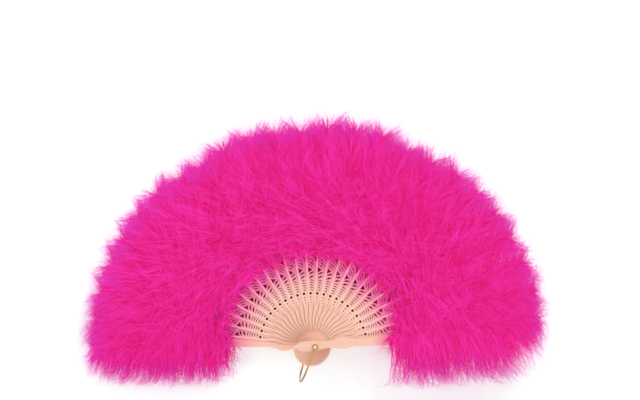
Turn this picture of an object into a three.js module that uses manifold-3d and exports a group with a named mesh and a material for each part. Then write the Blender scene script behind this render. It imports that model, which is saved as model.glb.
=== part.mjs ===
// A folding feather fan, shown open: pierced plastic ribs between two plain guards,
// a plume of down on the tail of each stick, a rivet through the heads and a wire bail.
// Millimetres. +Z is up, +X is right as seen from the front, and the front faces -Y.
// The origin is on the rivet's axis, half way through the stack of sticks.
// A stick is drawn pointing up, with its offset to the right as x, its reach from the
// rivet's axis as y and the way to the front as z.

import * as THREE from 'three';
import { mergeVertices } from 'three/addons/utils/BufferGeometryUtils.js';
import Module from 'manifold-3d';

// Sticks of the open fan, at angles clockwise from level left as seen from the front
const ribCount = 23;
const backGuardAngle = THREE.MathUtils.degToRad(1.1);
const stickAngleStep = THREE.MathUtils.degToRad(7.2);

// Bail, turned clockwise from hanging straight down
const bailAngle = THREE.MathUtils.degToRad(20);

// Stack of sticks
const ribThickness = 1.0;
const guardThickness = 2.0;
const layerGap = 0.3;
const runningClearance = 0.3;
const gluedClearance = 0.3;

// Leaf-shaped head of every stick, which leans a little to the left
const headReach = 23;
const headHalfWidth = 5.4;
const headLean = 3;

// Gorge of a rib, from the head to the blade's foot, its bends as shares of the foot's reach
const bladeFootReach = 46;
const neckShare = 0.3;
const neckHalfWidth = 2.1;
const bulgeShare = 0.67;
const bulgeHalfWidth = 3.7;
const waistShare = 0.89;
const waistHalfWidth = 2.75;

// Blade of a rib: a straight spine on its left and a flare on its right
const bladeLength = 50;
const bladeFootHalfWidth = 3.1;
const spineTipOffset = 3.9;
const flareTipOffset = 7.5;
const flareTipShare = 0.84;

// Plain guard, wider than a rib on both sides, with a belly on its left
const guardLeftNeckWidth = 4.6;
const guardBellyWidth = 7.9;
const guardLeftWaistWidth = 4.6;
const guardSpineFootWidth = 3.4;
const guardSpineTipWidth = 4.2;
const guardRightBulgeWidth = 5.6;
const guardRightWaistWidth = 4.0;
const guardFlareFootWidth = 4.4;
const guardFlareTipWidth = 7.7;

// Fretwork of a rib, its places as shares of the blade from foot to tip
const eyeletShares = [-0.07, -0.01, 0.05, 0.11];
const eyeletRadius = 0.6;
const eyeletGrowth = 0.13;
const roseShare = 0.19;
const roseRadius = 1.6;
const scaleShares = [0.258, 0.31, 0.362, 0.414, 0.466];
const scaleFallShare = 0.018;
const scaleWidth = 1.2;
const scaleArch = 0.8;
const leafShares = [0.504, 0.584];
const leafClimbShare = 0.066;
const leafWidth = 2.1;
const leafArch = 0.2;
const dropShare = 0.69;
const dropHalfShare = 0.06;
const crestShares = [0.81, 0.875, 0.95];
const crestFallShares = [0.09, 0.13, 0.14];
const crestWidth = 1.5;
const crestArch = 1.2;
const spineInset = 2.0;

// Where slits and drop end, as shares of the way from the centre line to the flare's edge
const scaleEndShare = 0.85;
const leafEndShare = 0.8;
const dropEndShare = 0.42;
const crestEndShares = [0.45, 0.8, 0.84];

// Tail of a stick, which carries its plume
const tailLength = 91;
const tailRootWidth = 4.0;
const tailTipWidth = 2.4;

// Plume of down, which starts just past the ribbon
const plumeLength = 145;
const plumeMargin = 1.0;
const plumeHalfWidth = 47;
const plumeLockCount = 16;
const plumeLockDepth = 7;

// Outward crown of a guard's plume
const crownRimThickness = 1.0;
const crownRise = 9;
const crownInset = 24;
const crownRings = 3;

// Ribbon that links the tails just above the blades
const ribbonMargin = 1.5;
const ribbonWidth = 3.5;
const ribbonThickness = 0.3;
const ribbonClearance = 0.6;
const ribbonStepsPerGap = 2;

// Rivet, washers and bail
const pinRadius = 1.2;
const washerRadius = 3.2;
const washerThickness = 0.6;
const capRadius = 2.2;
const capHeight = 1.6;
const socketDepth = 0.9;
const rearHeadThickness = 0.9;
const rearHeadBevel = 0.3;
const bailWireRadius = 0.7;
const bailEyeRadius = 2.9;
const bailEyeThickness = 1.2;
const bailDrop = 18;

// Facets of curved shapes
const curveSegments = 3;
const pinSides = 16;
const holeSides = 8;
const eyeletSides = 4;
const roseSides = 6;
const domeSteps = 4;
const wireSides = 8;
const bailSteps = 24;

// Sizes that follow
const layerPitch = ribThickness + layerGap;
const ribStackHalf = (ribCount - 1) / 2 * layerPitch + ribThickness / 2;
const guardLayer = ribStackHalf + layerGap + guardThickness / 2;
const stackHalf = guardLayer + guardThickness / 2;
const washerLayer = stackHalf + layerGap + washerThickness / 2;
const bailLayer = washerLayer + washerThickness / 2 + layerGap + bailEyeThickness / 2;
const capLayer = bailLayer + bailEyeThickness / 2 + layerGap;
const rivetHoleRadius = (pinRadius + runningClearance) / Math.cos(Math.PI / holeSides);
const bladeTipReach = bladeFootReach + bladeLength;
const flareTipReach = bladeAt(flareTipShare);
const tailReach = bladeTipReach + tailLength;
const ribbonInnerReach = bladeTipReach + ribbonMargin;
const plumeFootReach = ribbonInnerReach + ribbonWidth + plumeMargin;
const plumeTipReach = plumeFootReach + plumeLength;
const ribTailCentre = tailRootWidth / 2 - spineTipOffset;
const guardTailCentre = tailRootWidth / 2 - guardSpineTipWidth;
const frontGuardNumber = ribCount + 1;

const plastic = new THREE.MeshStandardMaterial({ color: 0xf6c6ae, roughness: 0.35, metalness: 0 });
const down = new THREE.MeshStandardMaterial({ color: 0xec2290, roughness: 0.95, metalness: 0 });
const gold = new THREE.MeshStandardMaterial({ color: 0xd9b36a, roughness: 0.3, metalness: 1 });
const satin = new THREE.MeshStandardMaterial({ color: 0xf06aa8, roughness: 0.6, metalness: 0 });

const wasm = await Module();
wasm.setup();

// The reach of a share of the blade's length
function bladeAt(share) {
  return bladeFootReach + share * bladeLength;
}

function toSolid(geometry) {
  const bare = geometry.clone();
  bare.deleteAttribute('normal');
  bare.deleteAttribute('uv');
  const merged = mergeVertices(bare);
  return new wasm.Manifold(new wasm.Mesh({
    numProp: 3,
    vertProperties: merged.attributes.position.array,
    triVerts: merged.index.array,
  }));
}

function toGeometry(solid) {
  const mesh = solid.getMesh();
  const geometry = new THREE.BufferGeometry();
  geometry.setAttribute('position', new THREE.BufferAttribute(mesh.vertProperties, 3));
  geometry.setIndex(new THREE.BufferAttribute(mesh.triVerts, 1));
  geometry.computeVertexNormals();
  return geometry;
}

function named(name, geometry, material) {
  const mesh = new THREE.Mesh(geometry, material);
  mesh.name = name;
  return mesh;
}

// A flat plate of an outline, half of its thickness on either side of z = 0
function plate(outline, thickness) {
  const settings = { depth: thickness, bevelEnabled: false, curveSegments };
  const geometry = new THREE.ExtrudeGeometry(outline, settings);
  geometry.translate(0, 0, -thickness / 2);
  return geometry;
}

// A closed solid from rings of points, one above the other, each running the same way round
function stackedRings(rings) {
  const count = rings[0].length;
  const positions = rings.flat().flatMap((point) => [point.x, point.y, point.z]);
  const faces = [];
  for (let ring = 0; ring < rings.length - 1; ring += 1) {
    for (let i = 0; i < count; i += 1) {
      const here = ring * count + i;
      const next = ring * count + (i + 1) % count;
      faces.push(here, next, next + count);
      faces.push(here, next + count, here + count);
    }
  }
  const flat = rings[0].map((point) => new THREE.Vector2(point.x, point.y));
  const last = (rings.length - 1) * count;
  for (const [a, b, c] of THREE.ShapeUtils.triangulateShape(flat, [])) {
    faces.push(c, b, a);
    faces.push(last + a, last + b, last + c);
  }
  const geometry = new THREE.BufferGeometry();
  geometry.setAttribute('position', new THREE.Float32BufferAttribute(positions, 3));
  geometry.setIndex(faces);
  geometry.computeVertexNormals();
  return geometry;
}

// A smooth swell of an outline's edge to a new offset and reach
function swellTo(outline, offset, reach) {
  const start = outline.currentPoint;
  const middle = (start.y + reach) / 2;
  outline.bezierCurveTo(start.x, middle, offset, middle, offset, reach);
}

// How far a stick's edges stand off its centre line, to the left and to the right
const ribForm = {
  left: {
    neck: neckHalfWidth,
    bulge: bulgeHalfWidth,
    waist: waistHalfWidth,
    foot: bladeFootHalfWidth,
    tip: spineTipOffset,
  },
  right: {
    neck: neckHalfWidth,
    bulge: bulgeHalfWidth,
    waist: waistHalfWidth,
    foot: bladeFootHalfWidth,
    tip: flareTipOffset,
  },
  tailCentre: ribTailCentre,
};

const guardForm = {
  left: {
    neck: guardLeftNeckWidth,
    bulge: guardBellyWidth,
    waist: guardLeftWaistWidth,
    foot: guardSpineFootWidth,
    tip: guardSpineTipWidth,
  },
  right: {
    neck: neckHalfWidth,
    bulge: guardRightBulgeWidth,
    waist: guardRightWaistWidth,
    foot: guardFlareFootWidth,
    tip: guardFlareTipWidth,
  },
  tailCentre: guardTailCentre,
};

// Where the sides of a head bend, as shares of its half width, its reach and its lean
const cheekShares = [1.5, 0.75, 0.8];
const throatShares = [1.1, 0.0, 0.3];

// The reaches of the gorge's neck, bulge and waist
const gorgeReaches = [neckShare, bulgeShare, waistShare].map((share) => share * bladeFootReach);

// The whole outline of a stick, up its right side and down its left
function stickOutline(form) {
  const outline = new THREE.Shape();
  const { left, right, tailCentre } = form;
  const [cheekWidth, cheekReach] = [cheekShares[0] * headHalfWidth, cheekShares[1] * headReach];
  const [throatWidth, throatReach] = [throatShares[0] * headHalfWidth, throatShares[1] * headReach];
  const [cheekLean, throatLean] = [cheekShares[2] * headLean, throatShares[2] * headLean];
  outline.moveTo(-headLean, -headReach);
  const [neckReach, bulgeReach, waistReach] = gorgeReaches;
  outline.bezierCurveTo(
    cheekWidth - cheekLean, -cheekReach, throatWidth - throatLean, throatReach, right.neck, neckReach,
  );
  swellTo(outline, right.bulge, bulgeReach);
  swellTo(outline, right.waist, waistReach);
  swellTo(outline, right.foot, bladeFootReach);
  const tailRight = tailCentre + tailRootWidth / 2;
  outline.lineTo(right.tip, flareTipReach);
  outline.quadraticCurveTo((right.tip + tailRight) / 2, bladeTipReach, tailRight, bladeTipReach);
  outline.lineTo(tailCentre + tailTipWidth / 2, tailReach);
  outline.lineTo(tailCentre - tailTipWidth / 2, tailReach);
  outline.lineTo(-left.tip, bladeTipReach);
  outline.lineTo(-left.foot, bladeFootReach);
  swellTo(outline, -left.waist, waistReach);
  swellTo(outline, -left.bulge, bulgeReach);
  swellTo(outline, -left.neck, neckReach);
  outline.bezierCurveTo(
    -throatWidth - throatLean, throatReach, -cheekWidth - cheekLean, -cheekReach, -headLean, -headReach,
  );
  outline.holes.push(roundHole(0, rivetHoleRadius, holeSides));
  return outline;
}

// A round or many-sided hole on the stick's centre line
function roundHole(reach, radius, sides) {
  const points = [];
  for (let i = 0; i < sides; i += 1) {
    const turn = 2 * Math.PI * i / sides;
    points.push(new THREE.Vector2(radius * Math.cos(turn), reach + radius * Math.sin(turn)));
  }
  return new THREE.Path(points);
}

// Where the fretwork starts beside the spine at a share of the blade
function spinePoint(share) {
  const spine = -THREE.MathUtils.lerp(bladeFootHalfWidth, spineTipOffset, share);
  return new THREE.Vector2(spine + spineInset, bladeAt(share));
}

// A point at a share of the blade and a share of the way out to the flare's edge
function flarePoint(share, endShare) {
  const flare = THREE.MathUtils.lerp(bladeFootHalfWidth, flareTipOffset, share / flareTipShare);
  return new THREE.Vector2(flare * endShare, bladeAt(share));
}

// A pointed slit of a width that arches up between its start and its end
function slit(start, end, width, arch) {
  const along = end.clone().sub(start).normalize();
  const across = new THREE.Vector2(-along.y, along.x);
  const middle = start.clone().lerp(end, 0.5);
  const outer = middle.clone().addScaledVector(across, arch + width / 2);
  const inner = middle.clone().addScaledVector(across, arch - width / 2);
  return new THREE.Path([start, outer, end, inner]);
}

// The drop between the leaf slits and the crest slits, its point towards the flare
function drop() {
  return new THREE.Path([
    spinePoint(dropShare - dropHalfShare),
    spinePoint(dropShare + dropHalfShare),
    flarePoint(dropShare, dropEndShare),
  ]);
}

function fretwork() {
  const holes = [roundHole(bladeAt(roseShare), roseRadius, roseSides), drop()];
  eyeletShares.forEach((share, i) => {
    holes.push(roundHole(bladeAt(share), eyeletRadius + i * eyeletGrowth, eyeletSides));
  });
  for (const share of scaleShares) {
    const end = flarePoint(share - scaleFallShare, scaleEndShare);
    holes.push(slit(spinePoint(share), end, scaleWidth, scaleArch));
  }
  for (const share of leafShares) {
    const end = flarePoint(share + leafClimbShare, leafEndShare);
    holes.push(slit(spinePoint(share), end, leafWidth, leafArch));
  }
  crestShares.forEach((share, i) => {
    const end = flarePoint(share - crestFallShares[i], crestEndShares[i]);
    holes.push(slit(spinePoint(share), end, crestWidth, crestArch));
  });
  return holes;
}

function ribGeometry() {
  const outline = stickOutline(ribForm);
  outline.holes.push(...fretwork());
  return plate(outline, ribThickness);
}

function guardGeometry() {
  return plate(stickOutline(guardForm), guardThickness);
}

// The edge of a plume, an oval of pointed locks, drawn in from its widest by an inset
function plumeEdge(centre, inset) {
  const halfLength = (plumeTipReach - plumeFootReach) / 2;
  const middleReach = plumeFootReach + halfLength;
  const points = [];
  for (let i = 1; i < 2 * plumeLockCount; i += 1) {
    const turn = Math.PI * i / plumeLockCount;
    const drawnIn = inset + (i % 2 === 0 ? plumeLockDepth : 0);
    const offset = (plumeHalfWidth - drawnIn) * Math.sin(turn);
    points.push(new THREE.Vector2(centre + offset, middleReach - (halfLength - drawnIn) * Math.cos(turn)));
  }
  return points;
}

function tailHalfWidth(reach) {
  const share = (reach - bladeTipReach) / (tailReach - bladeTipReach);
  return THREE.MathUtils.lerp(tailRootWidth, tailTipWidth, share) / 2;
}

// A rib's plume lies in the rib's own layer, on both sides of its tail
function ribPlumeGeometry() {
  const footSlot = tailHalfWidth(plumeFootReach) + gluedClearance;
  const tipSlot = tailTipWidth / 2 + gluedClearance;
  const slotEnd = tailReach + gluedClearance;
  const outline = new THREE.Shape([
    new THREE.Vector2(ribTailCentre + tipSlot, slotEnd),
    new THREE.Vector2(ribTailCentre + footSlot, plumeFootReach),
    ...plumeEdge(ribTailCentre, 0),
    new THREE.Vector2(ribTailCentre - footSlot, plumeFootReach),
    new THREE.Vector2(ribTailCentre - tipSlot, slotEnd),
  ]);
  return plate(outline, ribThickness);
}

function plumeRing(inset, height) {
  return plumeEdge(guardTailCentre, inset).map((point) => new THREE.Vector3(point.x, point.y, height));
}

// A guard's plume is glued on the tail's outer face and swells outwards, which is
// towards the front for 1 and towards the back for -1
function guardPlumeGeometry(outward) {
  const seat = guardThickness / 2 + gluedClearance;
  const rings = [plumeRing(0, seat * outward)];
  for (let i = 0; i <= crownRings; i += 1) {
    const turn = Math.PI / 2 * i / crownRings;
    const inset = crownInset * (1 - Math.cos(turn));
    const height = seat + crownRimThickness + crownRise * Math.sin(turn);
    rings.push(plumeRing(inset, height * outward));
  }
  return stackedRings(outward > 0 ? rings : rings.reverse());
}

function ribLayer(number) {
  return (number - (ribCount + 1) / 2) * layerPitch;
}

// Sticks are numbered from the back guard, which is 0, to the front guard
function stickAngle(number) {
  return backGuardAngle + number * stickAngleStep;
}

// A stick and its plume, turned to their place in the open fan
function placedStick(number, layer, ...meshes) {
  const stick = new THREE.Group();
  stick.rotation.z = Math.PI / 2 - stickAngle(number);
  stick.position.z = layer;
  stick.add(...meshes);
  return stick;
}

// The ribbon starts on the back guard's front face, passes behind each rib's tail and
// ends on the front guard's back face. Each stop is an angle and a layer.
function ribbonStops() {
  const guardSeat = guardLayer - guardThickness / 2 - gluedClearance - ribbonThickness / 2;
  const ribSeat = ribThickness / 2 + ribbonClearance + ribbonThickness / 2;
  const ribbonReach = ribbonInnerReach + ribbonWidth / 2;
  const ribLead = Math.atan(ribTailCentre / ribbonReach);
  const guardLead = Math.atan(guardTailCentre / ribbonReach);
  const stops = [new THREE.Vector2(stickAngle(0) + guardLead, -guardSeat)];
  for (let number = 1; number <= ribCount; number += 1) {
    stops.push(new THREE.Vector2(stickAngle(number) + ribLead, ribLayer(number) - ribSeat));
  }
  stops.push(new THREE.Vector2(stickAngle(frontGuardNumber) + guardLead, guardSeat));
  return stops;
}

function ribbonGeometry() {
  const stops = ribbonStops();
  const corners = [
    new THREE.Vector2(ribbonInnerReach, -ribbonThickness / 2),
    new THREE.Vector2(ribbonInnerReach, ribbonThickness / 2),
    new THREE.Vector2(ribbonInnerReach + ribbonWidth, ribbonThickness / 2),
    new THREE.Vector2(ribbonInnerReach + ribbonWidth, -ribbonThickness / 2),
  ];
  const positions = [];
  const steps = (stops.length - 1) * ribbonStepsPerGap;
  for (let step = 0; step <= steps; step += 1) {
    const gap = Math.min(Math.floor(step / ribbonStepsPerGap), stops.length - 2);
    const stop = stops[gap].clone().lerp(stops[gap + 1], step / ribbonStepsPerGap - gap);
    for (const corner of corners) {
      positions.push(-corner.x * Math.cos(stop.x), corner.x * Math.sin(stop.x), stop.y + corner.y);
    }
  }
  const faces = [0, 1, 2, 0, 2, 3];
  const last = steps * corners.length;
  faces.push(last, last + 2, last + 1, last, last + 3, last + 2);
  for (let step = 0; step < steps; step += 1) {
    for (let i = 0; i < corners.length; i += 1) {
      const here = step * corners.length + i;
      const next = step * corners.length + (i + 1) % corners.length;
      faces.push(here, next + corners.length, next);
      faces.push(here, here + corners.length, next + corners.length);
    }
  }
  const geometry = new THREE.BufferGeometry();
  geometry.setAttribute('position', new THREE.Float32BufferAttribute(positions, 3));
  geometry.setIndex(faces);
  geometry.computeVertexNormals();
  return geometry;
}

// A turned solid about the rivet's axis from a profile of radii and layers
function turned(profile) {
  const points = profile.map(([radius, layer]) => new THREE.Vector2(radius, layer));
  const geometry = new THREE.LatheGeometry(points, pinSides);
  geometry.rotateX(Math.PI / 2);
  return geometry;
}

// The pin runs from its rear head into the front cap's socket
function rivetPinGeometry() {
  const rearEnd = -capLayer - rearHeadThickness;
  const frontEnd = capLayer + socketDepth - runningClearance;
  return turned([
    [0, rearEnd],
    [capRadius - rearHeadBevel, rearEnd],
    [capRadius, rearEnd + rearHeadBevel],
    [capRadius, -capLayer],
    [pinRadius, -capLayer],
    [pinRadius, frontEnd],
    [0, frontEnd],
  ]);
}

function rivetCapGeometry() {
  const socketRadius = pinRadius + runningClearance;
  const profile = [
    [0, capLayer + socketDepth],
    [socketRadius, capLayer + socketDepth],
    [socketRadius, capLayer],
  ];
  for (let step = 0; step < domeSteps; step += 1) {
    const turn = Math.PI / 2 * step / domeSteps;
    profile.push([capRadius * Math.cos(turn), capLayer + capHeight * Math.sin(turn)]);
  }
  profile.push([0, capLayer + capHeight]);
  return turned(profile);
}

function washerGeometry() {
  const outline = new THREE.Shape(roundHole(0, washerRadius, pinSides).getPoints());
  outline.holes.push(roundHole(0, rivetHoleRadius, holeSides));
  return plate(outline, washerThickness);
}

// The bail's wire: down in front of the stack, round under the heads and up behind it
class BailPath extends THREE.Curve {
  getPoint(share, target = new THREE.Vector3()) {
    const start = (bailEyeRadius + rivetHoleRadius) / 2;
    const legLength = headReach - start;
    const bendDepth = bailDrop - bailWireRadius;
    const bendLength = Math.PI / 2 * (bendDepth + bailLayer);
    const travel = share * (2 * legLength + bendLength);
    if (travel < legLength) {
      return target.set(0, -start - travel, bailLayer);
    }
    if (travel > legLength + bendLength) {
      return target.set(0, travel - 2 * legLength - bendLength - start, -bailLayer);
    }
    const turn = Math.PI * (travel - legLength) / bendLength;
    return target.set(0, -headReach - bendDepth * Math.sin(turn), bailLayer * Math.cos(turn));
  }
}

function bailGeometry() {
  const section = new THREE.Shape(roundHole(0, bailWireRadius, wireSides).getPoints());
  const wire = new THREE.ExtrudeGeometry(section, { steps: bailSteps, extrudePath: new BailPath() });
  const eyeOutline = new THREE.Shape(roundHole(0, bailEyeRadius, pinSides).getPoints());
  eyeOutline.holes.push(roundHole(0, rivetHoleRadius, holeSides));
  let bail = toSolid(wire);
  for (const layer of [-bailLayer, bailLayer]) {
    const eye = plate(eyeOutline, bailEyeThickness);
    eye.translate(0, 0, layer);
    bail = bail.add(toSolid(eye));
  }
  return toGeometry(bail);
}

function label(number) {
  return String(number).padStart(2, '0');
}

function backGuard() {
  const plume = named(`plume_${label(0)}`, guardPlumeGeometry(-1), down);
  return placedStick(0, -guardLayer, named('back_guard', guardGeometry(), plastic), plume);
}

function frontGuard() {
  const plume = named(`plume_${label(frontGuardNumber)}`, guardPlumeGeometry(1), down);
  const guard = named('front_guard', guardGeometry(), plastic);
  return placedStick(frontGuardNumber, guardLayer, guard, plume);
}

function rib(number) {
  const stick = named(`rib_${label(number)}`, ribGeometry(), plastic);
  const plume = named(`plume_${label(number)}`, ribPlumeGeometry(), down);
  return placedStick(number, ribLayer(number), stick, plume);
}

function rivetAndBail() {
  const group = new THREE.Group();
  const frontWasher = named('washer_front', washerGeometry(), gold);
  const rearWasher = named('washer_rear', washerGeometry(), gold);
  const bail = named('bail', bailGeometry(), gold);
  frontWasher.position.z = washerLayer;
  rearWasher.position.z = -washerLayer;
  bail.rotation.z = -bailAngle;
  group.add(named('rivet_pin', rivetPinGeometry(), gold), named('rivet_cap', rivetCapGeometry(), gold));
  group.add(frontWasher, rearWasher, bail);
  return group;
}

const fan = new THREE.Group();
fan.rotation.x = Math.PI / 2;
fan.add(backGuard());
for (let number = 1; number <= ribCount; number += 1) {
  fan.add(rib(number));
}
fan.add(frontGuard(), named('ribbon', ribbonGeometry(), satin), rivetAndBail());

export default fan;
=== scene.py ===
# Feather fan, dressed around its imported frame: down, moulded sticks, gilt rivet and bail, ribbon
import math

import bmesh
import bpy
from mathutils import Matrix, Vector


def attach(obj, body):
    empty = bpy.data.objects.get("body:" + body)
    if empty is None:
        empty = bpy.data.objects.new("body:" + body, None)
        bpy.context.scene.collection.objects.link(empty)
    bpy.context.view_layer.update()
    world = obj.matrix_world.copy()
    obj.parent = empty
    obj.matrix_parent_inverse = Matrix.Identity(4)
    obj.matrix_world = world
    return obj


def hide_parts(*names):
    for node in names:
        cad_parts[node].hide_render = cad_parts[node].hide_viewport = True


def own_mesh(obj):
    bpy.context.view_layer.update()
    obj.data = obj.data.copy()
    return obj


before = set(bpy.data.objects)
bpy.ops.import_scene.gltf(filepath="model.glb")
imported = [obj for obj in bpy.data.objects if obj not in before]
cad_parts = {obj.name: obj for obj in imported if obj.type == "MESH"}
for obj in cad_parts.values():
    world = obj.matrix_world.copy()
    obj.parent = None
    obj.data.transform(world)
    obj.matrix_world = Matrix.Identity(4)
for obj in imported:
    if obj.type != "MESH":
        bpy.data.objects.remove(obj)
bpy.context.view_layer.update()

mm = 0.001


# Sticks of the frame, counted from the back guard, and where each one points
fan = {
    'stickCount': 25,
    'firstAngle': math.radians(1.1),   # from level left, clockwise as seen from the front
    'angleStep': math.radians(7.2),
    'ribPitch': 1.3 * mm,
    'guardLayer': 16.1 * mm,
    'tailCentre': 2.0 * mm,            # the tails stand this far left of the sticks' centre lines
}
lastStick = fan['stickCount'] - 1


def stickAngle(number):
    return fan['firstAngle'] + number * fan['angleStep']


def stickLayer(number):
    # The back guard lies furthest from the camera, at the largest y
    if number in (0, lastStick):
        return fan['guardLayer'] * (1 if number == 0 else -1)
    return (lastStick / 2 - number) * fan['ribPitch']


def stickBody(number):
    return {0: 'back_stick', lastStick: 'front_stick'}.get(number, f'stick_{number:02d}')


# Node helpers
class Wire:
    def __init__(self, socket):
        self.socket = socket
        self.tree = socket.id_data

    def math(self, operation, *others):
        values = {i: value for i, value in enumerate((self, *others))}
        return addNode(self.tree, 'ShaderNodeMath', {'operation': operation}, values)

    def flipped(self, operation, other):
        return addNode(self.tree, 'ShaderNodeMath', {'operation': operation}, {0: other, 1: self})

    def __add__(self, other):
        return self.math('ADD', other)

    def __radd__(self, other):
        return self.math('ADD', other)

    def __sub__(self, other):
        return self.math('SUBTRACT', other)

    def __rsub__(self, other):
        return self.flipped('SUBTRACT', other)

    def __mul__(self, other):
        return self.math('MULTIPLY', other)

    def __rmul__(self, other):
        return self.math('MULTIPLY', other)

    def __truediv__(self, other):
        return self.math('DIVIDE', other)

    def __rtruediv__(self, other):
        return self.flipped('DIVIDE', other)

    def __pow__(self, other):
        return self.math('POWER', other)


def addNode(tree, kind, settings=None, values=None, output=0):
    node = tree.nodes.new(kind)
    for name, value in (settings or {}).items():
        setattr(node, name, value)
    for key, value in (values or {}).items():
        socket = findSocket(node.inputs, key)
        if isinstance(value, Wire):
            tree.links.new(value.socket, socket)
        else:
            socket.default_value = value
    return Wire(findSocket(node.outputs, output))


def findSocket(sockets, key):
    if isinstance(key, int):
        return sockets[key]
    return next(socket for socket in sockets if socket.name == key and socket.enabled)


def blendColour(tree, factor, first, second, mode='MIX'):
    return addNode(tree, 'ShaderNodeMix', {'data_type': 'RGBA', 'blend_type': mode},
                   {'Factor': factor, 'A': first, 'B': second}, 'Result')


def remap(value, low, high, newHigh=1.0):
    values = {'Value': value, 'From Min': low, 'From Max': high, 'To Min': 0.0, 'To Max': newHigh}
    return addNode(value.tree, 'ShaderNodeMapRange', {'interpolation_type': 'SMOOTHSTEP'},
                   values, 'Result')


def remapLinear(share, low, high):
    return low + (high - low) * share


def rivetReach(tree, place):
    # How far a point stands from the rivet's axis
    flat = addNode(tree, 'ShaderNodeVectorMath', {'operation': 'MULTIPLY'},
                   {0: place, 1: (1, 0, 1)})
    return addNode(tree, 'ShaderNodeVectorMath', {'operation': 'LENGTH'}, {0: flat}, 'Value')


def pointHeight(tree, place):
    return addNode(tree, 'ShaderNodeSeparateXYZ', None, {0: place}, 'Z')


def objectPlace(tree):
    return addNode(tree, 'ShaderNodeTexCoord', output='Object')


def attribute(tree, name):
    return addNode(tree, 'ShaderNodeAttribute', {'attribute_name': name}, output='Fac')


def noise(tree, place, scale, **shape):
    values = {name.title(): value for name, value in shape.items()}
    return addNode(tree, 'ShaderNodeTexNoise', None,
                   {'Vector': place, 'Scale': scale, **values}, 'Fac')


def bumped(tree, strength, distance, height):
    return addNode(tree, 'ShaderNodeBump', None,
                   {'Strength': strength, 'Distance': distance, 'Height': height})


def colour(red, green, blue):
    # A colour as seen on a screen, 0 to 255, as the renderer's linear values
    def linear(level):
        share = level / 255
        return share / 12.92 if share <= 0.04045 else ((share + 0.055) / 1.055) ** 2.4
    return (linear(red), linear(green), linear(blue), 1)


def newMaterial(name, settings):
    material = bpy.data.materials.new(name)
    material.use_nodes = True
    shader = material.node_tree.nodes['Principled BSDF']
    for socket, value in settings.items():
        shader.inputs[socket].default_value = value
    return material, material.node_tree, shader


def feed(tree, shader, **wires):
    # Underscores in a name stand for the spaces in the socket's name
    for name, wire in wires.items():
        tree.links.new(wire.socket, shader.inputs[name.replace('_', ' ')])


# Camera
camera = {
    'target': Vector((7.6, 0, 154.5)) * mm,
    'distance': 1200 * mm,
    'azimuth': math.radians(-7),
    'elevation': math.radians(-0.7),
    'pixelFocal': 1127,
    'pixelWidth': 640,
    'sensor': 36,
}


def makeCamera():
    across, up = camera['azimuth'], camera['elevation']
    back = Vector((math.sin(across) * math.cos(up), -math.cos(across) * math.cos(up), math.sin(up)))
    data = bpy.data.cameras.new('viewpoint')
    data.sensor_width = camera['sensor']
    data.lens = camera['sensor'] * camera['pixelFocal'] / camera['pixelWidth']
    seen = bpy.data.objects.new('viewpoint', data)
    bpy.context.collection.objects.link(seen)
    seen.location = camera['target'] + camera['distance'] * back
    seen.rotation_mode = 'QUATERNION'
    seen.rotation_quaternion = (-back).to_track_quat('-Z', 'Y')
    bpy.context.scene.camera = seen
    bpy.context.scene.view_settings.view_transform = 'Standard'


# Light and surroundings
studio = {
    'worldLevel': 0.62,        # light from all round, less than the full white that the camera sees
    'lamps': [
        # name, place, aimed at, width, power
        ('keyLamp', (0.55, -1.3, 1.75), (0, 0, 0.08), 0.9, 15),
        ('fillLamp', (-1.5, -1.2, 0.5), (0, 0, 0.1), 1.2, 6),
        ('backLamp', (-0.4, 1.5, 1.3), (0, 0, 0.1), 1.0, 10),
    ],
    'floorHeight': -80 * mm,
    'wallPlace': 35 * mm,      # behind the rivet's middle
    'liftLevel': 0.34,         # brings the open paper up to white
    'shadeReach': 260 * mm,    # the paper looks this far for the fan standing before it
    'shadeSteps': 8,
    'shadeRange': (0.31, 0.44),        # its open share, from the darkest tone to none
    'haloRange': (0.46, 0.66),
    'openBelow': (-4 * mm, 4 * mm),    # no tone below the rivet
    'openBeyond': (86 * mm, 99 * mm),  # or beyond the blades
    'gorgeBelow': (46 * mm, 52 * mm),
    # Painted shade on the paper where the fan stands close before it: dark behind the fretwork,
    # brown behind the gorge, faint near the fan's outline
    'shadedPaper': colour(92, 34, 40),
    'gorgeShadePaper': colour(182, 122, 96),
    'haloShadePaper': colour(224, 240, 236),
    'openPaper': colour(251, 251, 251),
    'paperReach': 12.0,
}


def makeWorld():
    world = bpy.data.worlds.new('plainRoom')
    bpy.context.scene.world = world
    world.use_nodes = True
    tree = world.node_tree
    rays = tree.nodes.new('ShaderNodeLightPath')
    seen = Wire(rays.outputs['Is Camera Ray']).math('MAXIMUM', Wire(rays.outputs['Is Glossy Ray']))
    seen = seen.math('MAXIMUM', Wire(rays.outputs['Is Transmission Ray']))
    strength = seen * (1 - studio['worldLevel']) + studio['worldLevel']
    background = tree.nodes['Background']
    background.inputs['Color'].default_value = (1, 1, 1, 1)
    tree.links.new(strength.socket, background.inputs['Strength'])


def makeLamps():
    for name, place, target, width, power in studio['lamps']:
        data = bpy.data.lights.new(name, 'AREA')
        data.shape = 'DISK'
        data.size = width
        data.energy = power
        lamp = bpy.data.objects.new(name, data)
        bpy.context.collection.objects.link(lamp)
        lamp.location = place
        lamp.rotation_mode = 'QUATERNION'
        lamp.rotation_quaternion = (Vector(target) - Vector(place)).to_track_quat('-Z', 'Y')


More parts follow.
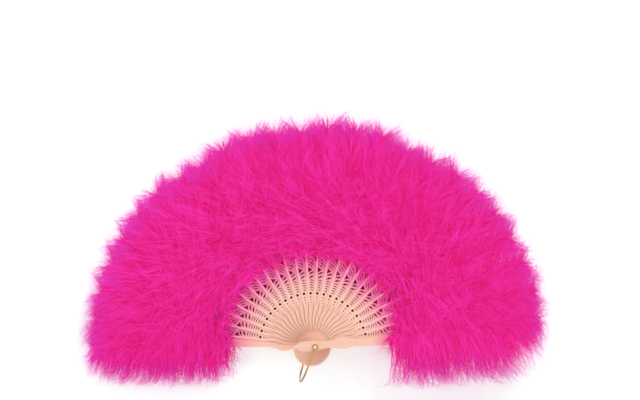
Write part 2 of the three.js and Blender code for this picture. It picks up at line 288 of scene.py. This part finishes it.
def stageMaterial():
    # White paper, lifted to full white for the camera where the fan doesn't stand close before it.
    # Its tones are painted shade: behind the gorge and the fretwork for the shade under the sticks,
    # and a faint tone near the fan's outline for its soft shadow
    material = bpy.data.materials.new('palePaper')
    material.use_nodes = True
    tree = material.node_tree
    tree.nodes.clear()
    room = addNode(tree, 'ShaderNodeAmbientOcclusion', {'samples': studio['shadeSteps']},
                   {'Distance': studio['shadeReach']}, 'AO')
    place = Wire(tree.nodes.new('ShaderNodeNewGeometry').outputs['Position'])
    height = pointHeight(tree, place)
    reach = rivetReach(tree, place)
    below = remap(height * -1, *studio['openBelow'])
    openness = remap(room, *studio['shadeRange']).math('MAXIMUM', below)
    # A faint painted shadow near the fan's outline, then painted shade behind the fretwork and the
    # gorge
    haloShade = remap(room, *studio['haloRange'])
    shade = blendColour(tree, haloShade, studio['haloShadePaper'], studio['openPaper'])
    for zone, tone in (('openBeyond', 'shadedPaper'), ('gorgeBelow', 'gorgeShadePaper')):
        clear = openness.math('MAXIMUM', remap(reach, *studio[zone]))
        shade = blendColour(tree, clear, studio[tone], shade)
    paper = addNode(tree, 'ShaderNodeBsdfDiffuse', None, {'Color': shade})
    lift = addNode(tree, 'ShaderNodeEmission', None, {'Strength': openness * studio['liftLevel']})
    nothing = addNode(tree, 'ShaderNodeBsdfTransparent')
    rays = tree.nodes.new('ShaderNodeLightPath')
    lifted = addNode(tree, 'ShaderNodeAddShader', None, {0: paper, 1: lift})
    front = addNode(tree, 'ShaderNodeMixShader', None,
                    {0: Wire(rays.outputs['Is Camera Ray']), 1: paper, 2: lifted})
    rear = Wire(tree.nodes.new('ShaderNodeNewGeometry').outputs['Backfacing'])
    whole = addNode(tree, 'ShaderNodeMixShader', None, {0: rear, 1: front, 2: nothing})
    end = tree.nodes.new('ShaderNodeOutputMaterial')
    tree.links.new(whole.socket, end.inputs['Surface'])
    return material


def makeStage():
    # A floor below the feathers and a wall close behind them, which is seen from its front only
    paper = stageMaterial()
    end, low, wall = studio['paperReach'], studio['floorHeight'], studio['wallPlace']
    corners = {
        'paleFloor': [(-end, -end, low), (end, -end, low), (end, wall, low), (-end, wall, low)],
        'paleWall': [(-end, wall, low), (end, wall, low), (end, wall, end), (-end, wall, end)],
    }
    for name, points in corners.items():
        mesh = bpy.data.meshes.new(name)
        mesh.from_pydata(points, [], [(0, 1, 2, 3)])
        mesh.materials.append(paper)
        screen = bpy.data.objects.new(name, mesh)
        bpy.context.collection.objects.link(screen)
        if name == 'paleWall':
            screen.visible_shadow = False
            screen.visible_diffuse = False
            screen.visible_glossy = False
            screen.visible_transmission = False


# Moulded plastic of the sticks
plastic = {
    'gorge': colour(249, 205, 182),
    # Pink towards the tips: partly the sticks' dye, partly painted pink light reflected from the
    # down
    'tip': colour(240, 102, 164),
    'tail': colour(236, 70, 150),
    # A painted highlight along each rib's raised spine, pinker towards its tip
    'spine': colour(255, 206, 198),
    'spineTip': colour(255, 168, 196),
    # Painted shade in a thin line along one edge of each rib's neck, where the ribs lie over each
    # other
    'seamShade': colour(186, 128, 98),
    'seamWidth': (0.35 * mm, 0.8 * mm),
    'spineWidth': (1.5 * mm, 2.3 * mm),
    'spineStart': 46 * mm,
    'spineFade': 4 * mm,
    'edge': [                  # reaches from the rivet, and a rib's growth to its left there
        (13.8 * mm, 30.8 * mm, 1.6 * mm),
        (30.8 * mm, 40.9 * mm, -0.95 * mm),
        (40.9 * mm, 46.0 * mm, 0.35 * mm),
        (46.0 * mm, 96.0 * mm, 0.8 * mm),
    ],
    'neckHalfWidth': 2.1 * mm,
    'seamHeights': (0.5 * mm, 1.5 * mm),
    'seamReach': (13 * mm, 17 * mm),
    'dyeAndReflectedPinkReach': (53 * mm, 90 * mm),
    'tailReach': (93 * mm, 101 * mm),
    'seamShadeLevel': 0.8,
    'cloudScale': 60.0,
    'cloudDrift': 12 * mm,     # how far the blush's edge wanders
    'mottle': colour(226, 160, 132),
    'mottleRange': (0.35, 0.7),
    'mottleLevel': 0.14,
    'grainScale': 900.0,
    'grainLevel': 0.4,
    'bumpStrength': 0.25,
    'bumpDepth': 0.15 * mm,
    'roughness': 0.42,
    'roughnessPlay': 0.18,
    'surface': {
        'Specular IOR Level': 0.4,
        'Subsurface Weight': 0.12,
        'Subsurface Radius': (1.0, 0.45, 0.3),
        'Subsurface Scale': 1.2 * mm,
    },
}


def plasticMaterial():
    material, tree, shader = newMaterial('mouldedPlastic', plastic['surface'])
    place = objectPlace(tree)
    reach = rivetReach(tree, place)
    clouds = noise(tree, place, plastic['cloudScale'], detail=3.0, roughness=0.55)
    grain = noise(tree, place, plastic['grainScale'], detail=2.0)
    # Pinker towards the tips: partly dye, partly painted pink light reflected from the down
    dyeAndReflectedPink = remap(reach + (clouds - 0.5) * plastic['cloudDrift'], *plastic['dyeAndReflectedPinkReach'])
    tinted = blendColour(tree, dyeAndReflectedPink, plastic['gorge'], plastic['tip'])
    edge = plastic['neckHalfWidth']
    for low, high, growth in plastic['edge']:
        edge = edge + remap(reach, low, high, growth)
    inside = attribute(tree, 'across') + edge
    start, fade = plastic['spineStart'], plastic['spineFade']
    blade = remap(reach, start - fade, start + fade)
    # A painted highlight along the spine of each blade
    spine = (1 - remap(inside, *plastic['spineWidth'])) * blade
    spineTint = blendColour(tree, dyeAndReflectedPink, plastic['spine'], plastic['spineTip'])
    tinted = blendColour(tree, spine, tinted, spineTint)
    height = pointHeight(tree, place)
    # Painted shade along each rib's edge in the gorge
    seamShade = (1 - remap(inside, *plastic['seamWidth'])) * (1 - blade)
    seamShade = seamShade * remap(height, *plastic['seamHeights']) * remap(reach, *plastic['seamReach'])
    tinted = blendColour(tree, seamShade * plastic['seamShadeLevel'], tinted, plastic['seamShade'])
    tinted = blendColour(tree, remap(reach, *plastic['tailReach']), tinted, plastic['tail'])
    mottle = remap(clouds, *plastic['mottleRange']) * plastic['mottleLevel']
    relief = grain * plastic['grainLevel'] + clouds
    feed(tree, shader, Base_Color=blendColour(tree, mottle, tinted, plastic['mottle']),
         Roughness=plastic['roughness'] + (clouds - 0.5) * plastic['roughnessPlay'],
         Normal=bumped(tree, plastic['bumpStrength'], plastic['bumpDepth'], relief))
    return material


def markSpines():
    # How far each point of a rib lies from its centre line, so that the painted spine highlight and
    # seam shade can follow the rib's edges
    for number in range(1, lastStick):
        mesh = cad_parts[f'rib_{number:02d}'].data
        sine, cosine = math.sin(stickAngle(number)), math.cos(stickAngle(number))
        distances = [point.co.x * sine + point.co.z * cosine for point in mesh.vertices]
        mesh.attributes.new('across', 'FLOAT', 'POINT').data.foreach_set('value', distances)


# Gilt metal of the rivet and the bail
gilt = {
    'bright': colour(206, 156, 84),
    # The bail turns grey towards its bottom, with grey specks here and there
    'lowerGrey': colour(158, 148, 136),
    # The rivet cap's gilt, paler as a painted highlight on its dome
    'cap': colour(240, 206, 166),
    'lowerGreyDepth': (18 * mm, 34 * mm),   # below the rivet
    'speckScale': 420.0,
    'speckRange': (0.55, 0.75),
    'speckGrey': 0.25,
    'roughness': 0.2,
    'roughnessPlay': 0.18,
    'bumpStrength': 0.2,
    'bumpDepth': 0.1 * mm,
    'wireGrowth': 0.3 * mm,
    'wireStart': 5 * mm,
    'weld': 0.01 * mm,
}


def makeBail(finish):
    # The frame's bail with a rounder and fuller wire from just below its eyes
    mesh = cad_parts['bail'].data.copy()
    shape = bmesh.new()
    shape.from_mesh(mesh)
    bmesh.ops.remove_doubles(shape, verts=shape.verts, dist=gilt['weld'])
    bmesh.ops.recalc_face_normals(shape, faces=shape.faces)
    shape.normal_update()
    for point in shape.verts:
        reach = math.hypot(point.co.x, point.co.z)
        share = min(1, max(0, reach / gilt['wireStart'] - 1))
        point.co += point.normal * gilt['wireGrowth'] * share
    shape.to_mesh(mesh)
    shape.free()
    mesh.materials.clear()
    mesh.materials.append(finish)
    mesh.shade_smooth()
    piece = bpy.data.objects.new('bail_wire', mesh)
    bpy.context.collection.objects.link(piece)
    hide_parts('bail')
    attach(piece, 'carrying_bail')


def giltMaterial(name, bright):
    material, tree, shader = newMaterial(name, {'Metallic': 1.0})
    place = objectPlace(tree)
    height = pointHeight(tree, place)
    specks = noise(tree, place, gilt['speckScale'], detail=4.0, roughness=0.6)
    # Grey towards the bottom, and in random specks
    greyShare = remap(height * -1, *gilt['lowerGreyDepth'])
    greyShare = (greyShare + remap(specks, *gilt['speckRange']) * gilt['speckGrey']).math('MINIMUM', 1.0)
    feed(tree, shader, Base_Color=blendColour(tree, greyShare, bright, gilt['lowerGrey']),
         Roughness=gilt['roughness'] + specks * gilt['roughnessPlay'],
         Normal=bumped(tree, gilt['bumpStrength'], gilt['bumpDepth'], specks))
    return material


# Satin of the ribbon
satin = {
    'dark': colour(214, 60, 130),
    'light': colour(244, 120, 178),
    'shadeRange': (0.2, 0.8),
    'warpPitch': 0.3 * mm,
    'threadScale': 700.0,
    'roughness': 0.38,
    'roughnessPlay': 0.2,
    'bumpStrength': 0.4,
    'bumpDepth': 0.05 * mm,
    'surface': {'Sheen Weight': 0.4, 'Sheen Roughness': 0.4},
}


def satinMaterial():
    material, tree, shader = newMaterial('satinRibbon', satin['surface'])
    place = objectPlace(tree)
    reach = rivetReach(tree, place)
    warp = (reach * (2 * math.pi / satin['warpPitch'])).math('SINE') * 0.5 + 0.5
    threads = noise(tree, place, satin['threadScale'])
    shade = remap(warp * 0.5 + threads * 0.5, *satin['shadeRange'])
    feed(tree, shader, Base_Color=blendColour(tree, shade, satin['dark'], satin['light']),
         Roughness=satin['roughness'] + threads * satin['roughnessPlay'],
         Normal=bumped(tree, satin['bumpStrength'], satin['bumpDepth'], warp + threads))
    return material


# Marabou down
down = {
    'deep': colour(233, 14, 118),
    'bright': colour(255, 82, 220),
    # Painted shade of the down behind the blades
    'coveredShade': colour(146, 7, 76),
    'rim': colour(238, 80, 212),
    # A lilac tint towards the lower edges, darker than the rim's: partly the wisps' tint, partly
    # painted shade on the underside
    'hem': colour(232, 54, 192),
    'glow': colour(255, 120, 225),
    'lockRange': (0.1, 0.9),
    'tipRange': (0.2, 0.8),    # the part of a barb over which it takes the tint of the rim or hem
    'surface': {
        'Roughness': 0.75,
        'Specular IOR Level': 0.15,
        'Emission Strength': 0.17,     # stands for the light that wanders between the barbs
    },
}


def downMaterial():
    material, tree, shader = newMaterial('marabouDown', down['surface'])
    lockTone = remap(attribute(tree, 'shade'), *down['lockRange'])
    tinted = blendColour(tree, lockTone, down['deep'], down['bright'])
    toTip = remap(attribute(tree, 'along'), *down['tipRange'])
    # Lilac towards the rim; at the hem darker, partly painted shade on the underside
    for part in ('rim', 'hem'):
        tinted = blendColour(tree, attribute(tree, part) * toTip, tinted, down[part])
    # Painted shade of the down behind the blades
    tinted = blendColour(tree, attribute(tree, 'cover'), tinted, down['coveredShade'])
    feed(tree, shader, Base_Color=tinted,
         Emission_Color=blendColour(tree, 1.0, tinted, down['glow'], 'MULTIPLY'))
    return material


# One plume of down is thousands of fine barbs in soft locks, all along a quill
plume = {
    'Locks': 840,
    'Strands': 4,
    'Root Start': 94 * mm,
    'Root End': 226 * mm,
    'Middle': 158 * mm,
    'Inner Length': 86 * mm,   # from the middle to each end of the plume's outline
    'Outer Length': 86 * mm,
    'Width': 40 * mm,
    'Depth': 15 * mm,
    'Rim Reach': 226 * mm,     # beyond this reach from the rivet the down is trimmed short
    'Rim Keep': 0.42,
    'Rim Play': 9 * mm,
    'Strand Play': 13 * mm,
    'Hem': -36 * mm,           # and below this height too
    'Hem Keep': 0.2,
    'Hem Play': 6 * mm,
    'Thickness': 30 * mm,      # and this far before and behind the sticks
    'Thickness Keep': 0.25,
    'Forward Foot': -14 * mm,
    'Foot Play': 6 * mm,
    'Forward Tip': 18 * mm,
    'Rear Foot': -20 * mm,     # behind the sticks the down starts further in
    'Rear Layer': 15 * mm,     # and lies behind the whole stack there
    'Hang': 0.0,
    # Cover also sets the painted shade of the down behind the blades
    'Cover': 1.0,              # how dark the down behind the blades is
    'Lean Low': 0.45,
    'Lean High': 1.35,
    'Spread': 6.0 * mm,
    'Bow': 8 * mm,
    'Swirl': 4.0 * mm,
    'Barb Radius': 0.34 * mm,
    'stations': 4,
    'tipGrowth': 17 * mm,      # how much longer the plumes on the right are
    'growthStart': 0.45,       # share of the fan from which they grow longer
    'shorter': {               # single plumes that are worn shorter
        7: 5 * mm, 8: 7 * mm, 11: 2 * mm, 12: 4 * mm,
        16: 6 * mm, 17: 4 * mm, 23: 2 * mm, 24: 5 * mm,
    },
    'squashKeep': 0.35,
    'firstSeed': 40,
    'seedStep': 31,
}

# How locks and barbs are drawn at random and bent, alike for every plume
habit = {
    'rootBias': 0.75,          # below 1 there are more roots near the tip
    'outlineFloor': 0.06,
    'endShares': (0.02, 1.0),  # of the outline, where locks end
    'endBias': 0.45,           # below 1 more of them end near the outline
    'hangShares': (1.22, 0.8),     # at the foot, and how much of it is lost up to the tip
    'leanShares': (0.35, 0.65),    # at the foot, and how much is added up to the tip
    'rearFrom': 0.1,
    'strandLengths': (0.84, 0.22, 0.26),
    'strayPower': 14,          # few strands take the last of these lengths
    'spreadShare': 0.8,        # of the spread, along the quill and in depth
    'bendShares': (0.25, 0.6),     # of a lock's way forward and sideways, gone by its middle
    'bowDepthShare': 0.5,
    'coveredRoots': 3,         # the down behind the blades comes from the first third of the quill
    'swirlScale': 70.0,
    'swirlShift': 0.37,        # between two plumes, so that their swirls differ
    'swirlLevel': 4,
    'swirlDepthShare': 0.6,
    'rimLow': -0.8,
    'strandLow': -1.2,
    'rimFade': (-24 * mm, 20 * mm),
    'hemFade': (8 * mm, 30 * mm),
    # How strongly, and to what depth, the down behind the blades takes its painted shade
    'coverLevel': 1.3,
    'coverDepth': (5 * mm, 9 * mm),
    'taper': 0.88,
    'sides': 3,
}

# The plumes at both ends of the fan hang in full lobes below the guards
lobes = {
    'left': {
        'Locks': 1250,
        'Root Start': 88 * mm,
        'Middle': 150 * mm,
        'Inner Length': 80 * mm,
        'Outer Length': 94 * mm,
        'Width': 48 * mm,
        'Forward Foot': -4 * mm,
        'Rear Foot': -6 * mm,
        'Lean Low': -0.2,
        'Lean High': 0.25,
        'Hang': -0.52,         # share of the width by which the lobe hangs down
        'Cover': 0.0,
        'Spread': 13 * mm,
        'Swirl': 10 * mm,
        'Bow': 14 * mm,
    },
    'right': {
        'Locks': 1600,
        'Layer': -3 * mm,      # forward, over the guard's tail
        'Root Start': 83 * mm,
        'Middle': 134 * mm,
        'Inner Length': 72 * mm,
        'Outer Length': 104 * mm,
        'Width': 60 * mm,
        'Forward Foot': -2 * mm,
        'Rear Foot': -8 * mm,
        'Lean Low': -0.4,
        'Lean High': 0.35,
        'Hang': 0.6,
        'Cover': 0.0,
        'Spread': 13 * mm,
        'Swirl': 10 * mm,
        'Bow': 14 * mm,
    },
    'fades': 3,                # sticks from an end over which a plume turns into an ordinary one
}


def randomField(tree, owner, seed, low=0.0, high=1.0):
    # The same seed and owner always give the same value
    return addNode(tree, 'FunctionNodeRandomValue', {'data_type': 'FLOAT'},
                   {'Min': low, 'Max': high, 'ID': owner, 'Seed': seed}, 'Value')


def plumeTree():
    tree = bpy.data.node_groups.new('plumeOfDown', 'GeometryNodeTree')
    face = tree.interface
    for name in ('Locks', 'Strands', 'Seed'):
        face.new_socket(name=name, in_out='INPUT', socket_type='NodeSocketInt')
    measures = [key for key in plume if key[0].isupper() and key not in ('Locks', 'Strands')]
    for name in (*measures, 'Angle', 'Layer', 'Tail Centre'):
        face.new_socket(name=name, in_out='INPUT', socket_type='NodeSocketFloat')
    face.new_socket(name='Barb Finish', in_out='INPUT', socket_type='NodeSocketMaterial')
    face.new_socket(name='Geometry', in_out='OUTPUT', socket_type='NodeSocketGeometry')
    entry = tree.nodes.new('NodeGroupInput')
    given = {socket.name: Wire(socket) for socket in entry.outputs if socket.name}

    index = addNode(tree, 'GeometryNodeInputIndex')
    strand = (index / plume['stations']).math('FLOOR')
    station = (index - strand * plume['stations']) / (plume['stations'] - 1)
    lock = (strand / given['Strands']).math('FLOOR')
    seed = given['Seed']

    # Each lock has a root on the quill, an end in the plume's outline and a bow between them
    rootShare = randomField(tree, lock, seed + 1) ** habit['rootBias']
    root = remapLinear(rootShare, given['Root Start'], given['Root End'])
    fromMiddle = root - given['Middle']
    outer = fromMiddle.math('GREATER_THAN', 0.0)
    fromMiddle = fromMiddle / remapLinear(outer, given['Inner Length'], given['Outer Length'])
    outline = (1 - fromMiddle * fromMiddle).math('MAXIMUM', habit['outlineFloor']).math('SQRT')
    turn = randomField(tree, lock, seed + 2, 0.0, 2 * math.pi)
    share = randomField(tree, lock, seed + 3, *habit['endShares']) ** habit['endBias']
    most, less = habit['hangShares']
    hang = given['Hang'] * (most - less * rootShare)
    sideways = (turn.math('COSINE') * share + hang) * outline * given['Width']
    outward = turn.math('SINE') * share * outline * given['Depth']
    lateral = (sideways * sideways + outward * outward).math('SQRT')
    lean = randomField(tree, lock, seed + 4, given['Lean Low'], given['Lean High'])
    least, more = habit['leanShares']
    lean = lean * (least + more * rootShare)
    rear = turn.math('SINE').math('GREATER_THAN', habit['rearFrom'])
    play = randomField(tree, lock, seed + 26, -1.0, 1.0) * given['Foot Play']
    foot = given['Forward Foot'] + rear * given['Rear Foot'] + play
    forward = remapLinear(rootShare, foot, given['Forward Tip']) + lateral * lean
    lockTone = randomField(tree, lock, seed + 5)

    # A strand leaves its lock's line a little at the middle and more at the end
    strandTone = randomField(tree, strand, seed + 6)
    least, more, stray = habit['strandLengths']
    length = least + more * strandTone + stray * strandTone ** habit['strayPower']
    travel = station * length
    rest = 1 - travel
    first = travel * rest * 2
    second = travel * travel

    def spread(owner, offset, amount):
        return (randomField(tree, owner, seed + offset, -1.0, 1.0)
                * randomField(tree, owner, seed + offset + 1) * amount)

    forwardBend, sideBend = habit['bendShares']
    along = root + spread(strand, 10, given['Spread']) * habit['spreadShare']
    bow = spread(lock, 12, given['Bow'])
    along = along + first * (forward * forwardBend + bow) + second * forward
    along = along + second * spread(strand, 14, given['Spread'])
    across = first * (sideways * sideBend + spread(lock, 16, given['Bow'])) + second * sideways
    across = across + (first + second) * spread(strand, 18, given['Spread'])
    bow = spread(lock, 20, given['Bow']) * habit['bowDepthShare']
    deep = first * (outward * sideBend + bow) + second * outward
    behind = (given['Rear Layer'] - given['Layer']).math('MAXIMUM', 0.0)
    inner = (1 - rootShare * habit['coveredRoots']).math('MAXIMUM', 0.0) * rear * given['Cover']
    deep = deep + inner * behind * travel
    deep = deep + (first + second) * spread(strand, 22, given['Spread']) * habit['spreadShare']

    # Swirls bend neighbouring strands alike
    flat = addNode(tree, 'ShaderNodeCombineXYZ', None, {0: along, 1: across, 2: deep})
    shift = addNode(tree, 'ShaderNodeCombineXYZ', None,
                    {0: seed * habit['swirlShift'], 1: 0.0, 2: 0.0})
    moved = addNode(tree, 'ShaderNodeVectorMath', {'operation': 'ADD'}, {0: flat, 1: shift})
    swirl = addNode(tree, 'ShaderNodeTexNoise', {'noise_dimensions': '3D'},
                    {'Vector': moved, 'Scale': habit['swirlScale'], 'Detail': 2.0}, 'Color')
    parts = tree.nodes.new('ShaderNodeSeparateXYZ')
    tree.links.new(swirl.socket, parts.inputs[0])
    push = second * given['Swirl'] * habit['swirlLevel']
    along = along + (Wire(parts.outputs[0]) - 0.5) * push
    across = across + (Wire(parts.outputs[1]) - 0.5) * push
    deep = deep + (Wire(parts.outputs[2]) - 0.5) * push * habit['swirlDepthShare']

    # The whole fan's rim is one soft circle
    reach = (along * along + across * across).math('SQRT')
    play = randomField(tree, lock, seed + 24, habit['rimLow'], 1.0)
    rim = given['Rim Reach'] + play * given['Rim Play']
    play = randomField(tree, strand, seed + 27, habit['strandLow'], 1.0)
    rim = rim + play * given['Strand Play']
    rimTone = remap(reach - given['Rim Reach'], *habit['rimFade'])
    beyond = (reach - rim).math('MAXIMUM', 0.0)
    drawn = 1 - beyond * (1 - given['Rim Keep']) / reach
    along, across = along * drawn, across * drawn

    # From the stick's own directions to its place in the open fan
    across = across - given['Tail Centre']
    sine, cosine = given['Angle'].math('SINE'), given['Angle'].math('COSINE')
    height = along * sine + across * cosine
    hem = given['Hem'] + randomField(tree, lock, seed + 25, -1.0, 1.0) * given['Hem Play']
    height = height + (hem - height).math('MAXIMUM', 0.0) * (1 - given['Hem Keep'])
    # How far a point lies in the hem, for its tint and painted shade
    hemTintAndShade = remap(height * -1, *habit['hemFade'])
    layer = given['Layer'] + deep
    beyond = (layer.math('ABSOLUTE') - given['Thickness']).math('MAXIMUM', 0.0)
    layer = layer - layer.math('SIGN') * beyond * (1 - given['Thickness Keep'])
    place = addNode(tree, 'ShaderNodeCombineXYZ', None, {
        0: across * sine - along * cosine,
        1: layer,
        2: height,
    })
    count = given['Locks'] * given['Strands'] * plume['stations']
    points = addNode(tree, 'GeometryNodePoints', None, {'Count': count, 'Position': place})
    # The painted shade of the down behind the blades fades with its depth
    cover = (inner * habit['coverLevel']).math('MINIMUM', 1.0)
    cover = cover * (1 - remap(outward, *habit['coverDepth']))
    marks = {
        'shade': lockTone * 0.5 + strandTone * 0.5,
        'along': travel,
        'cover': cover,
        'rim': rimTone,
        'hem': hemTintAndShade,
    }
    perPoint = {'data_type': 'FLOAT', 'domain': 'POINT'}
    for name, value in marks.items():
        points = addNode(tree, 'GeometryNodeStoreNamedAttribute', perPoint,
                         {'Geometry': points, 'Name': name, 'Value': value})
    curves = addNode(tree, 'GeometryNodePointsToCurves', None,
                     {'Points': points, 'Curve Group ID': strand, 'Weight': station})
    factor = addNode(tree, 'GeometryNodeSplineParameter', output='Factor')
    taper = given['Barb Radius'] * (1 - factor * habit['taper'])
    section = addNode(tree, 'GeometryNodeCurvePrimitiveCircle', None,
                      {'Resolution': habit['sides'], 'Radius': 1.0})
    mesh = addNode(tree, 'GeometryNodeCurveToMesh', None,
                   {'Curve': curves, 'Profile Curve': section, 'Scale': taper, 'Fill Caps': True})
    mesh = addNode(tree, 'GeometryNodeSetShadeSmooth', None,
                   {'Geometry': mesh, 'Shade Smooth': True})
    real = addNode(tree, 'GeometryNodeRealizeInstances', None, {'Geometry': mesh})
    done = addNode(tree, 'GeometryNodeSetMaterial', None,
                   {'Geometry': real, 'Material': given['Barb Finish']})
    tree.links.new(done.socket, tree.nodes.new('NodeGroupOutput').inputs[0])
    return tree


def grown(name, tree, values):
    # Runs a tree with these inputs and keeps the result as a plain mesh
    empty = bpy.data.objects.new('seedling', bpy.data.meshes.new('seedling'))
    bpy.context.collection.objects.link(empty)
    modifier = empty.modifiers.new('growth', 'NODES')
    modifier.node_group = tree
    for socket in tree.interface.items_tree:
        if socket.in_out == 'INPUT' and socket.name in values:
            modifier[socket.identifier] = values[socket.name]
    graph = bpy.context.evaluated_depsgraph_get()
    mesh = bpy.data.meshes.new_from_object(empty.evaluated_get(graph), depsgraph=graph)
    mesh.name = name
    bpy.data.objects.remove(empty)
    piece = bpy.data.objects.new(name, mesh)
    bpy.context.collection.objects.link(piece)
    return piece


def makePlumes(finish):
    tree = plumeTree()
    for number in range(fan['stickCount']):
        begin = plume['growthStart']
        longer = plume['tipGrowth'] * max(0, number / lastStick - begin) / (1 - begin)
        longer -= plume['shorter'].get(number, 0)
        values = {key: value for key, value in plume.items() if key[0].isupper()}
        ending = max(0, 1 - min(number, lastStick - number) / lobes['fades'])
        values['Layer'] = 0
        for key, value in lobes['left' if number < lastStick / 2 else 'right'].items():
            values[key] += (value - values[key]) * ending
        values.update({
            'Root End': plume['Root End'] + longer,
            'Inner Length': values['Inner Length'] + longer,
            'Outer Length': values['Outer Length'] + longer,
            'Rim Reach': plume['Rim Reach'] + longer,
            'Angle': stickAngle(number),
            'Locks': round(values['Locks']),
            'Layer': stickLayer(number) + values['Layer'],
            'Tail Centre': fan['tailCentre'],
            'Seed': plume['firstSeed'] + plume['seedStep'] * number,
            'Barb Finish': finish,
        })
        piece = grown(f'down_{number:02d}', tree, values)
        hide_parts(f'plume_{number:02d}')
        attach(piece, stickBody(number))
        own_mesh(piece)
    print('plumes made')


# Ribbon, in a short span on each stick that folds with it
ribbon = {
    'innerReach': 97.5 * mm,
    'width': 3.5 * mm,
    'thickness': 0.3 * mm,
    'behindTail': 1.25 * mm,
    'guardInset': 0.2 * mm,
    'steps': 6,
}


def makeRibbon(finish):
    half, steps = fan['angleStep'] / 2, ribbon['steps']
    lead = -math.atan(fan['tailCentre'] / ribbon['innerReach'])
    for number in range(fan['stickCount']):
        start = 0 if number == 0 else -half
        end = 0 if number == lastStick else half
        points, faces = [], []
        for step in range(steps + 1):
            swing = start + (end - start) * step / steps
            turn = stickAngle(number) + lead + swing
            drift = -swing / fan['angleStep'] * fan['ribPitch']
            layer = ribbonLayer(number) + drift
            for reach, offset in ((0, -1), (0, 1), (1, 1), (1, -1)):
                out = ribbon['innerReach'] + reach * ribbon['width']
                points.append((-out * math.cos(turn), layer + offset * ribbon['thickness'] / 2,
                               out * math.sin(turn)))
        for step in range(steps):
            for side in range(4):
                here, beside = 4 * step + side, 4 * step + (side + 1) % 4
                faces.append((here, beside, beside + 4, here + 4))
        faces += [(3, 2, 1, 0), tuple(4 * steps + side for side in range(4))]
        mesh = bpy.data.meshes.new(f'ribbon_span_{number:02d}')
        mesh.from_pydata(points, [], faces)
        mesh.materials.append(finish)
        piece = bpy.data.objects.new(mesh.name, mesh)
        bpy.context.collection.objects.link(piece)
        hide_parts('ribbon')
        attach(piece, stickBody(number))
    print('ribbon made')


def ribbonLayer(number):
    # Inside the guards, and just behind the tail of each rib
    if number == 0:
        return fan['guardLayer'] - ribbon['behindTail'] - ribbon['guardInset']
    if number == lastStick:
        return -fan['guardLayer'] + ribbon['behindTail'] + ribbon['guardInset']
    return stickLayer(number) + ribbon['behindTail']


def paint(names, material):
    for name in names:
        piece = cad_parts[name]
        piece.data.materials.clear()
        piece.data.materials.append(material)


makeCamera()
makeWorld()
makeLamps()
makeStage()
print('studio ready')

ribs = [f'rib_{number:02d}' for number in range(1, lastStick)]
paint(['back_guard', *ribs, 'front_guard'], plasticMaterial())
markSpines()
goldFinish = giltMaterial('giltMetal', gilt['bright'])
paint(['rivet_pin', 'washer_front', 'washer_rear'], goldFinish)
makeBail(goldFinish)
# The cap's paler gilt is a painted highlight on its dome
paint(['rivet_cap'], giltMaterial('capGiltPaintedHighlight', gilt['cap']))
print('frame painted')

makePlumes(downMaterial())
makeRibbon(satinMaterial())
